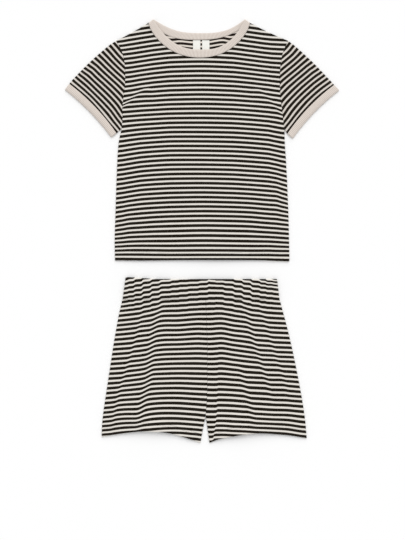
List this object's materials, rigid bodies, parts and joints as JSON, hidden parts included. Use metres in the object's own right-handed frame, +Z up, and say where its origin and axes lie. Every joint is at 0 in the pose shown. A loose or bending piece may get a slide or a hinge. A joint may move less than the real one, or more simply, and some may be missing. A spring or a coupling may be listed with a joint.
{
  "type": "pyjama set of t-shirt and shorts",
  "caption": "Short-sleeved striped T-shirt with plain rib neckband and cuffs, laid flat above its matching shorts with a gathered elastic waist.",
  "frame": {"origin": "on the surface that the set lies on, under the middle of the set's box, which is under the T-shirt's back panel just above its hem", "axes": "+Y from the hems to the neck, +X to the right as seen from above, +Z up out of the surface"},
  "size_m": [0.4913, 0.7622, 0.0077],
  "materials": {
    "striped_jersey": "cotton single jersey knitted in even black and off-white stripes, matt",
    "stone_rib": "fine cotton rib in pale stone, folded double, matt",
    "white_tape": "smooth white woven label tape with a slight sheen, bare"
  },
  "bodies": {
    "root": {"tee_front": "striped_jersey", "tee_back": "striped_jersey", "tee_sleeve_left": "striped_jersey", "tee_sleeve_right": "striped_jersey", "tee_cuff_left": "stone_rib", "tee_cuff_right": "stone_rib", "tee_neckband": "stone_rib", "neck_label_left": "white_tape", "neck_label_right": "white_tape", "shorts_front_left": "striped_jersey", "shorts_front_right": "striped_jersey", "shorts_back_left": "striped_jersey", "shorts_back_right": "striped_jersey", "shorts_waistband": "striped_jersey"}
  },
  "joints": []
}
